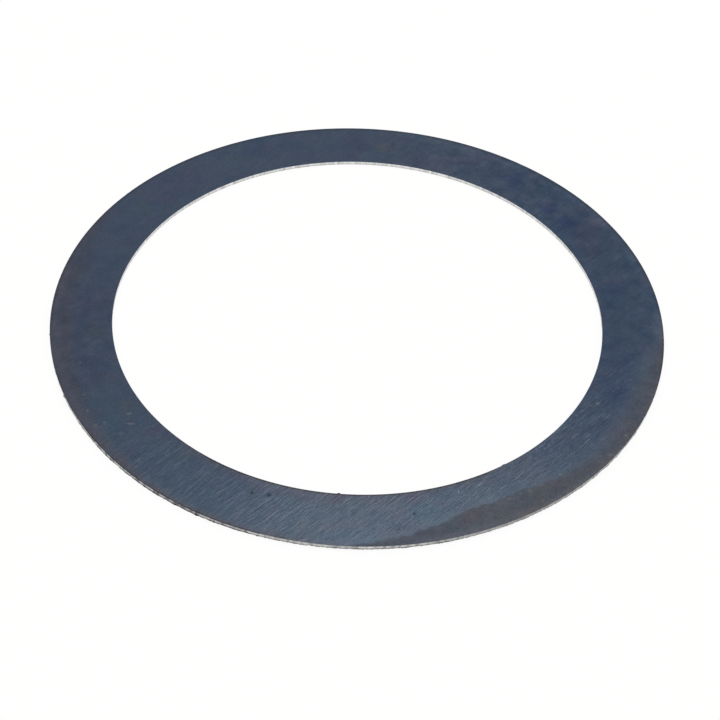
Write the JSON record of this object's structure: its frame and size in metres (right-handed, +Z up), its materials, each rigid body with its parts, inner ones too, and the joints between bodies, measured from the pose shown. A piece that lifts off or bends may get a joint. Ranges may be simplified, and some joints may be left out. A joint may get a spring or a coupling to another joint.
{
  "type": "shim washer",
  "caption": "Thin flat steel ring that slips over a shaft or into a housing bore and takes up axial play between two shoulders.",
  "frame": {"origin": "centre of the bore, in the plane of the lower face that the ring lies on", "axes": "+Z up along the bore axis, out of the face with the die roll; the ring is round, so X and Y are free, and -Y faces the camera of the picture"},
  "size_m": [0.075, 0.075, 0.0005],
  "materials": {
    "blued_steel": "straight-ground strip with a thin blue temper oxide, stained brown in places; bare grey sheared edges"
  },
  "bodies": {
    "root": {"shim_washer": "blued_steel"}
  },
  "joints": []
}
